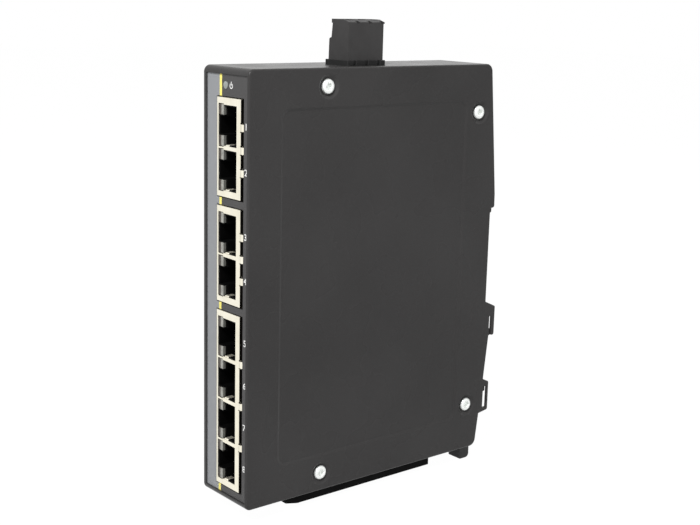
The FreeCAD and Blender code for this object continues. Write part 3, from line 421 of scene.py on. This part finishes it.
def band(tree, along, start, end):
    """Mask that is 1 between two places along an axis."""
    above = new_node(tree, "Math", "GREATER_THAN")
    above.inputs[1].default_value = start
    below = new_node(tree, "Math", "LESS_THAN")
    below.inputs[1].default_value = end
    both = new_node(tree, "Math", "MULTIPLY")
    tree.links.new(along, above.inputs[0])
    tree.links.new(along, below.inputs[0])
    tree.links.new(above.outputs[0], both.inputs[0])
    tree.links.new(below.outputs[0], both.inputs[1])
    return both.outputs[0]


def label_print():
    """Dark film with a grey strip and a yellow line, both as bands along X."""
    material = finish("label_film", paint_colour(63, 62, 62), paint_colour(67, 66, 66),
                      (0.42, 0.5), grain=(0.25, 0.15, 0.01), patch=12.0, specular=0.3)
    tree = material.node_tree
    shader = tree.nodes["Principled BSDF"]
    split = new_node(tree, "SeparateXYZ")
    tree.links.new(object_place(tree), split.inputs[0])
    colour = shader.inputs["Base Color"].links[0].from_socket
    grey = band(tree, split.outputs["X"], label_low.x - MM, line_start)
    yellow = band(tree, split.outputs["X"], line_start, line_end)
    colour = blended(tree, grey, colour, paint_colour(137, 139, 142))
    colour = blended(tree, yellow, colour, paint_colour(238, 226, 118))
    tree.links.new(colour, shader.inputs["Base Color"])
    return material


LABEL = label_print()
dress(LABEL, "front_label")

# %% [markdown]
# The sockets have three materials: a black glass-filled insulator, plated cans folded round
# it, and gold-flashed spring wires. Plated sheet gets long rolled lines in its roughness. The
# helper `banded` lays a second tone over part of a finish, between two places along an axis.

# %% Moulded plastics, plated metal and gold
def plated(name, low, high, rough, stretch, metallic=1.0):
    """Plated sheet: rolled lines drive roughness, and the tone drifts slowly."""
    material = bpy.data.materials.new(name)
    material.use_nodes = True
    tree = material.node_tree
    shader = tree.nodes["Principled BSDF"]
    shader.inputs["Metallic"].default_value = metallic
    place = tree.nodes.new("ShaderNodeTexCoord").outputs["Object"]
    lines = place_group(tree, LINES, Stretch=stretch, Low=rough[0], High=rough[1])
    tone = place_group(tree, DRIFT, Patch_mm=6.0)
    skin = place_group(tree, GRAIN, Grain_mm=0.6, Strength=0.12, Depth_mm=0.01)
    for node in (lines, tone, skin):
        tree.links.new(place, node.inputs["Place"])
    tree.links.new(blended(tree, tone.outputs["Value"], low, high), shader.inputs["Base Color"])
    tree.links.new(lines.outputs["Mask"], shader.inputs["Roughness"])
    tree.links.new(skin.outputs["Normal"], shader.inputs["Normal"])
    return material


def banded(material, start, end, ink, axis="X"):
    """Lays ink over the material's colour between two places along an axis."""
    tree = material.node_tree
    shader = tree.nodes["Principled BSDF"]
    split = new_node(tree, "SeparateXYZ")
    tree.links.new(object_place(tree), split.inputs[0])
    under = shader.inputs["Base Color"].links[0].from_socket
    mask = band(tree, split.outputs[axis], start, end)
    tree.links.new(blended(tree, mask, under, ink), shader.inputs["Base Color"])
    return material


# Near black: the insulator's own black, deepened as painted shade for the deep socket cavities.
BLACK_PLASTIC = finish("socket_black", paint_colour(3, 3, 3), paint_colour(5, 5, 5), (0.6, 0.7),
                       grain=(0.3, 0.25, 0.02), patch=9.0, specular=0.06)
PLUG_PLASTIC = finish("connector_grey", paint_colour(50, 49, 49), paint_colour(56, 55, 55), (0.5, 0.62),
                      grain=(0.35, 0.3, 0.025), patch=7.0, specular=0.25)
header_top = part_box("power_header")[1][2]
far_below = -1.0
# Painted shade: the plug's part below the header's top is darker, for the shade inside the header around the
# seated plug.
banded(PLUG_PLASTIC, far_below, header_top, paint_colour(28, 28, 28), "Z")
HEADER_PLASTIC = finish("header_black", paint_colour(30, 30, 30), paint_colour(36, 36, 36), (0.5, 0.62),
                        grain=(0.35, 0.3, 0.025), patch=7.0, specular=0.15)
STRIP_PLASTIC = finish("strip_black", paint_colour(5, 5, 5), paint_colour(8, 8, 8), (0.6, 0.75),
                       grain=(0.5, 0.3, 0.03), patch=14.0, specular=0.06)
LATCH_PLASTIC = finish("latch_black", paint_colour(44, 44, 44), paint_colour(50, 50, 50), (0.42, 0.55),
                       grain=(0.4, 0.28, 0.02), patch=10.0, specular=0.25)
GOLD = plated("contact_gold", paint_colour(214, 172, 92), paint_colour(226, 188, 110),
              (0.22, 0.34), (0.5, 4.0, 4.0))
ZINC = finish("screw_zinc", paint_colour(236, 239, 236), paint_colour(248, 250, 248), (0.26, 0.38),
              grain=(0.5, 0.3, 0.01), patch=2.0, metallic=0.45, specular=0.6)
TIN = plated("tinned_copper", paint_colour(196, 192, 184), paint_colour(210, 206, 199),
             (0.3, 0.45), (2.0, 2.0, 0.4))
SPRING_STEEL = plated("spring_steel", paint_colour(150, 150, 150), paint_colour(172, 172, 172),
                      (0.25, 0.4), (1.0, 1.0, 4.0))
print("plain finishes:", BLACK_PLASTIC.name, PLUG_PLASTIC.name, LATCH_PLASTIC.name, ZINC.name)

# %% [markdown]
# Two finishes change across a piece. The cans that shield the sockets are bright only on
# their face: their folded sides stand in the narrow gap of the label and carry a dark band
# there, which is painted shade of that gap. The signal lamps are two-toned lenses, dark brown
# on the outer half and milky on the inner half; their right side face is painted mid-grey,
# painted shade, and further back in the wall they are painted near black, painted shade of
# their pockets. These are bands along X and Y, over the plain finish.

# %% Shield plate and signal lamps
side_wall = bodies["1_2"][1].x + 0.35 * MM
lamp_low, lamp_high = (Vector(corner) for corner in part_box("socket_lamps_1_2"))
lamp_split = lamp_low.x + 0.48 * (lamp_high.x - lamp_low.x)
gap_shade_reach = 0.04 * MM
lamp_shade_depth = 0.95 * MM
SHIELD = plated("shield_plate", paint_colour(236, 231, 213), paint_colour(246, 242, 227),
                (0.42, 0.55), (3.0, 3.0, 0.2))
# Painted shade: a dark band over the cans' folded sides, where they stand in the label's gap.
banded(SHIELD, side_wall - gap_shade_reach, side_wall + gap_shade_reach, paint_colour(52, 49, 44))
LAMP = finish("lamp_lens", paint_colour(128, 128, 122), paint_colour(160, 159, 152), (0.25, 0.4),
              grain=(0.45, 0.5, 0.05), patch=1.1, specular=0.4)
banded(LAMP, lamp_low.x - MM, lamp_split, paint_colour(60, 52, 44))
# Painted shade: a mid-grey over each lamp's right side face.
banded(LAMP, lamp_high.x - 0.06 * MM, lamp_high.x + MM, paint_colour(98, 98, 94))
# Painted shade: near black over the part of each lamp that lies back in its pocket in the wall.
banded(LAMP, lamp_low.y + lamp_shade_depth, lamp_high.y + MM, paint_colour(16, 15, 14), "Y")
dress(BLACK_PLASTIC, *["socket_body_" + name for name in blocks])
dress(SHIELD, *["socket_shield_" + name for name in blocks])
dress(GOLD, *["socket_contacts_" + name for name in blocks])
dress(LAMP, *["socket_lamps_" + name for name in blocks])
dress(PLUG_PLASTIC, "plug_body")
dress(HEADER_PLASTIC, "power_header")
dress(TIN, "plug_contacts", "header_pins", "clamp_cage_1", "clamp_cage_2", "clamp_cage_3")
dress(ZINC, "cover_screws", "clamp_screw_1", "clamp_screw_2", "clamp_screw_3", "hook_screws", "board_screws")
dress(LATCH_PLASTIC, "rail_latch", "rail_hook")
dress(SPRING_STEEL, "latch_spring")
dress(STRIP_PLASTIC, "underside_strip")

# %% [markdown]
# What the housing hides still gets its true finish, because the model can be taken apart:
# green board lacquer, dull chip resin, ferrite, cream fuse, tin can and clear light guide.

# %% Inside the housing
BOARD = finish("board_lacquer", paint_colour(16, 70, 40), paint_colour(22, 84, 48), (0.25, 0.4),
               grain=(1.2, 0.2, 0.03), patch=6.0)
CHIP = finish("chip_resin", paint_colour(26, 26, 27), paint_colour(33, 33, 34), (0.55, 0.7),
              grain=(0.2, 0.3, 0.02), patch=5.0)
CAN = plated("aluminium_can", paint_colour(176, 178, 182), paint_colour(196, 198, 202),
             (0.3, 0.45), (0.3, 4.0, 4.0))
FUSE = finish("fuse_ceramic", paint_colour(206, 200, 182), paint_colour(220, 214, 196), (0.5, 0.65),
              grain=(0.3, 0.2, 0.02), patch=3.0)
LENS = finish("status_lens", paint_colour(132, 136, 133), paint_colour(150, 154, 151), (0.2, 0.3),
              grain=(0.4, 0.1, 0.01), patch=1.5)
dress(BOARD, "circuit_board")
dress(CHIP, "switch_chip", "memory_chip", "converter_chip", "port_magnetics", "supply_inductor")
dress(CAN, "supply_capacitors", "clock_crystal")
dress(FUSE, "input_fuse")
dress(LENS, "status_light_guide", "status_lamp")

# %% [markdown]
# The solids of the connector, the sockets and the latch have knife edges, and a moulded or
# folded piece never has. A copy of each is merged to one skin, its flat faces are joined
# again, and a small Bevel rounds every edge by a tenth or two of a millimetre. The shell and
# the cover have their own rounded edges, so their copies are only shaded anew. Each copy
# rides with the same body and stands for the solid.

# %% Softened copies of moulded and folded pieces
soft_angle = math.radians(35)
crisp_angle = math.radians(18)
flat_angle = math.radians(1.0)
double_reach = 2e-6
flat_area = 4e-6


def piece_from(name, mesh, material, body):
    """An object for a mesh that is already in place, riding on a body."""
    piece = bpy.data.objects.new(name, mesh)
    bpy.context.scene.collection.objects.link(piece)
    mesh.materials.clear()
    mesh.materials.append(material)
    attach(piece, body)
    return piece


def merged_copy(node, name):
    """The node's mesh with its doubles merged, its flat faces joined and its corners marked sharp."""
    work = bmesh.new()
    work.from_mesh(nodes[node].data)
    bmesh.ops.remove_doubles(work, verts=work.verts, dist=double_reach)
    bmesh.ops.dissolve_limit(work, angle_limit=flat_angle, verts=work.verts, edges=work.edges)
    for edge in work.edges:
        edge.smooth = edge.calc_face_angle(0.0) < crisp_angle
    mesh = bpy.data.meshes.new(name)
    work.to_mesh(mesh)
    work.free()
    return mesh


def flatten_large(mesh):
    """Large faces keep one normal each, and the small ones between them stay smooth."""
    areas = np.empty(len(mesh.polygons))
    mesh.polygons.foreach_get("area", areas)
    mesh.polygons.foreach_set("use_smooth", areas < flat_area)
    mesh.update()


def softened(node, body, radius_mm, segments=2):
    """Merged copy of a node, its edges over soft_angle rounded by radius_mm; 0 only shades it anew."""
    name = "soft_" + node
    piece = piece_from(name, merged_copy(node, name), nodes[node].data.materials[0], body)
    if radius_mm > 0:
        round_edges = piece.modifiers.new("round_edges", "BEVEL")
        round_edges.width = radius_mm * MM
        round_edges.segments = segments
        round_edges.limit_method = "ANGLE"
        round_edges.angle_limit = soft_angle
        evaluated = piece.evaluated_get(bpy.context.evaluated_depsgraph_get())
        finished = bpy.data.meshes.new_from_object(evaluated)
        piece.modifiers.clear()
        piece.data = finished
    flatten_large(piece.data)
    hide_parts(node)
    return piece


soft_edges = [
    ("plug_body", "power_plug", 0.16), ("power_header", "housing", 0.12),
    ("underside_strip", "housing", 0.25), ("rail_latch", "latch", 0.2), ("rail_hook", "housing", 0.2),
    ("side_cover", "housing", 0), ("main_shell", "housing", 0),
]
for name in blocks:
    soft_edges.append(("socket_body_" + name, "housing", 0.08))
    soft_edges.append(("socket_shield_" + name, "housing", 0.05))
    soft_edges.append(("socket_lamps_" + name, "housing", 0.12))
for node, body, radius in soft_edges:
    softened(node, body, radius)
print("softened:", len(soft_edges), "pieces")

# %% [markdown]
# Small turned and wound pieces are skins over a grid: one number runs round the piece and
# the other along it. The helper below joins such rings into one closed mesh, with a point at
# each end, so every later piece only has to say where its rings are.

# %% A closed skin over rings
def closed_skin(name, rings):
    """Mesh over rings[i, j] = point: ring i is closed in j, and each end closes to its middle."""
    rings = np.asarray(rings, dtype=float)
    count, around = rings.shape[:2]
    places = np.concatenate([rings.reshape(-1, 3), rings[[0, -1]].mean(axis=1)])
    here = np.arange(around)
    after = (here + 1) % around
    row = np.arange(count - 1)[:, None] * around
    sides = np.stack([row + here, row + after, row + around + after, row + around + here], axis=-1)
    sides = sides.reshape(-1, 4)
    top = (count - 1) * around
    first = np.stack([np.full(around, count * around), after, here], axis=-1)
    last = np.stack([np.full(around, count * around + 1), top + here, top + after], axis=-1)
    mesh = bpy.data.meshes.new(name)
    mesh.from_pydata(places.tolist(), [], sides.tolist() + first.tolist() + last.tolist())
    outward = bmesh.new()
    outward.from_mesh(mesh)
    bmesh.ops.recalc_face_normals(outward, faces=outward.faces)
    outward.to_mesh(mesh)
    outward.free()
    mesh.polygons.foreach_set("use_smooth", np.ones(len(mesh.polygons), dtype=bool))
    mesh.set_sharp_from_angle(angle=math.radians(40))
    return mesh


def joined(name, meshes):
    """One mesh out of several, kept as loose skins."""
    work = bmesh.new()
    for mesh in meshes:
        work.from_mesh(mesh)
    whole = bpy.data.meshes.new(name)
    work.to_mesh(whole)
    work.free()
    return whole


def vertex_places(mesh):
    """Places of a mesh's points, one row each."""
    places = np.empty(len(mesh.vertices) * 3)
    mesh.vertices.foreach_get("co", places)
    return places.reshape(-1, 3)


def loose_boxes(node):
    """Low and high corners of each loose solid: labels spread along edges until none changes."""
    mesh = merged_copy(node, "probe")
    places = vertex_places(mesh)
    pairs = np.empty(len(mesh.edges) * 2, dtype=np.int32)
    mesh.edges.foreach_get("vertices", pairs)
    pairs = pairs.reshape(-1, 2)
    label = np.arange(len(places))
    changed = True
    while changed:
        lowest = label[pairs].min(axis=1)
        spread = label.copy()
        np.minimum.at(spread, pairs[:, 0], lowest)
        np.minimum.at(spread, pairs[:, 1], lowest)
        changed = bool((spread != label).any())
        label = spread
    bpy.data.meshes.remove(mesh)
    return [(places[label == n].min(axis=0), places[label == n].max(axis=0)) for n in np.unique(label)]


screw_boxes = loose_boxes("cover_screws")
print("cover screws found:", len(screw_boxes))

# %% [markdown]
# The cover screws have a low dome and a six-lobed socket. Seen along its axis, the socket's
# edge is a circle whose radius swells and shrinks six times in a turn, so the rings of the
# head change from that wavy outline inside to a true circle outside. Below the head the same
# rings carry a thread: the radius follows a zigzag of the height minus the turn.

# %% Cover screws
screw_seat = 1.5 * MM
screw_crown = 1.05 * MM
lobe_swell = 0.13
screw_core = 1.2 * MM
thread_pitch = 0.6 * MM
thread_tall = 0.22 * MM
plain_neck = 1.6 * MM


def screw_rings(low, high, around=72):
    """Rings of one screw along X: lobed radius in the socket, round on the dome, then thread."""
    angle = np.linspace(0, 2 * np.pi, around, endpoint=False)
    axis_y, axis_z = (low[1:] + high[1:]) / 2
    head = (high[1] - low[1]) / 2
    seat = high[0] - screw_seat
    crown = screw_crown
    lobe = 1 + lobe_swell * np.cos(6 * angle)
    rings = []

    def ring(radius, along):
        along = np.broadcast_to(along, angle.shape)
        across = (axis_y + radius * np.cos(angle), axis_z + radius * np.sin(angle))
        rings.append(np.stack([along, *across], axis=-1))

    socket = 0.5 * head
    ring(0.25 * socket * lobe, seat + 0.05 * crown)
    ring(0.92 * socket * lobe, seat + 0.05 * crown)
    ring(0.97 * socket * lobe, seat + 0.93 * crown)
    for share in np.linspace(0, 1, 9):
        wave = 1 + lobe_swell * np.cos(6 * angle) * (1 - share) ** 2
        radius = (1.04 * socket + (0.95 * head - 1.04 * socket) * share) * wave
        height = crown * (0.40 + 0.60 * np.sqrt(np.clip(1 - (0.92 * share) ** 2.4, 0, 1)))
        ring(radius, seat + height)
    ring(head, seat + 0.30 * crown)
    ring(head, seat + 0.04 * crown)
    ring(0.97 * head, seat)
    ring(screw_core, seat)
    for along in np.arange(seat - plain_neck, low[0] + thread_pitch, -thread_pitch / 6):
        phase = (along / thread_pitch - angle / (2 * np.pi)) % 1.0
        ring(screw_core + thread_tall * (1 - np.abs(2 * phase - 1)), along)
    ring(0.8 * screw_core, low[0])
    return np.array(rings)


screw_meshes = [closed_skin("screw", screw_rings(*box)) for box in screw_boxes]
screws = piece_from("lobed_cover_screws", joined("lobed_cover_screws", screw_meshes), ZINC, "housing")
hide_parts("cover_screws")
print("screw faces:", len(screws.data.polygons))

# %% [markdown]
# The latch spring is round wire on a helix. The path climbs evenly except near its first and
# last turns, where it lies flat against its seats. A circle of the wire's radius is carried
# along the path, square to it.

# %% Latch spring
spring_wire = 0.25 * MM
spring_turns = 6.5
flat_turns = 0.75


def coil_rings(low, high, wire, turns, around=12, steps=28):
    """Rings round a helix: centre = (R cos t, R sin t, h(t)), ring = wire * (cos a out + sin a up)."""
    turn = np.linspace(0, 2 * np.pi * turns, int(turns * steps) + 1)[:, None]
    share = turn / turn[-1]
    climb = np.clip((share * turns - flat_turns) / (turns - 2 * flat_turns), 0, 1)
    middle_x, middle_y = (low[:2] + high[:2]) / 2
    radius = (high[0] - low[0]) / 2 - wire
    height = low[2] + wire + climb * (high[2] - low[2] - 2 * wire)
    slope = np.gradient(height[:, 0], turn[:, 0])[:, None]
    angle = np.linspace(0, 2 * np.pi, around, endpoint=False)[None, :]
    out = radius + wire * np.cos(angle)
    lean = wire * np.sin(angle) / np.sqrt(radius ** 2 + slope ** 2)
    x = middle_x + out * np.cos(turn) + lean * slope * np.sin(turn)
    y = middle_y + out * np.sin(turn) - lean * slope * np.cos(turn)
    z = height + lean * radius
    return np.stack([x, y, z], axis=-1)


spring_low, spring_high = (np.array(corner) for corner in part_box("latch_spring"))
coil_mesh = closed_skin("latch_coil", coil_rings(spring_low, spring_high, spring_wire, spring_turns))
coil = piece_from("latch_coil", coil_mesh, SPRING_STEEL, "housing")
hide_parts("latch_spring")
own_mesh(coil)

# %% [markdown]
# The print on the label that anyone may use stays: the port numbers and the sign for power.
# Ink has hardly any thickness, so each mark is a skin a few hundredths of a millimetre thick
# that lies on the film. The numbers start as text, become a mesh, and are then stood up on
# the front by swapping axes: the text's up becomes Z and its face looks along minus Y.

# %% Port numbers and power sign
INK = finish("white_ink", paint_colour(222, 222, 220), paint_colour(234, 234, 232), (0.5, 0.65),
             grain=(0.12, 0.2, 0.01), patch=1.5)
ink_sheet = 0.02 * MM
mark_x = side_wall + 2.6 * MM
mark_rise = 0.45 * MM
digit_tall = 2.1 * MM
digit_widening = 1.12
stroke_wide = 0.3 * MM


def number_mesh(text, middle_x, middle_z, tall):
    """Flat digit as a thin mesh on the label's face, centred on a place."""
    curve = bpy.data.curves.new("digit", "FONT")
    curve.body = text
    curve.size = 1.0
    curve.offset = 0.012
    curve.extrude = 0.01
    maker = bpy.data.objects.new("digit", curve)
    mesh = bpy.data.meshes.new_from_object(maker)
    bpy.data.objects.remove(maker)
    bpy.data.curves.remove(curve)
    flat = vertex_places(mesh)
    low, high = flat.min(axis=0), flat.max(axis=0)
    centred = (flat - (low + high) / 2) / (high[1] - low[1]) * tall
    depth = np.where(flat[:, 2] > 0, -ink_sheet, 0.0)
    across = centred[:, 0] * digit_widening + middle_x
    placed = np.stack([across, face + depth, centred[:, 1] + middle_z], axis=-1)
    mesh.vertices.foreach_set("co", placed.ravel())
    mesh.update()
    return mesh


port_pitch = 13.97 * MM
port_levels = []
for name, ports in (("1_2", 2), ("3_4", 2), ("5_8", 4)):
    low, high = bodies[name]
    centre = (low.z + high.z) / 2
    port_levels += [centre + ((ports - 1) / 2 - n) * port_pitch for n in range(ports)]
digit_meshes = [number_mesh(str(n + 1), mark_x, level + mark_rise, digit_tall)
                for n, level in enumerate(port_levels)]
digits = piece_from("port_numbers", joined("port_numbers", digit_meshes), INK, "housing")
print("digits:", len(port_levels), "faces:", len(digits.data.polygons))


def stroke_rings(path_x, path_z, wide):
    """Rings of a flat inked stroke: at each point of a line, a thin rectangle square to it."""
    run_x, run_z = np.gradient(path_x), np.gradient(path_z)
    length = np.hypot(run_x, run_z)
    side_x, side_z = -run_z / length * wide / 2, run_x / length * wide / 2
    corners = []
    for side, depth in ((-1, 0.0), (1, 0.0), (1, -ink_sheet), (-1, -ink_sheet)):
        level = np.full_like(path_x, face + depth)
        corners.append(np.stack([path_x + side * side_x, level, path_z + side * side_z], axis=-1))
    return np.stack(corners, axis=1)


guide_low, guide_high = (Vector(corner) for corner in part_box("status_light_guide"))
sign_x = 2.6 * MM
sign_z = (guide_low.z + guide_high.z) / 2 - 0.15 * MM
sign_radius = 0.72 * MM
sweep = np.radians(np.linspace(125, 415, 30))
arc_x, arc_z = sign_x + sign_radius * np.cos(sweep), sign_z + sign_radius * np.sin(sweep)
ring_rings = stroke_rings(arc_x, arc_z, stroke_wide)
bar_rings = stroke_rings(np.full(4, sign_x), sign_z + np.linspace(0.05, 1.35, 4) * MM, stroke_wide)
sign_meshes = [closed_skin("sign", rings) for rings in (ring_rings, bar_rings)]
sign = piece_from("power_sign", joined("power_sign", sign_meshes), INK, "housing")
print("power sign faces:", len(sign.data.polygons))
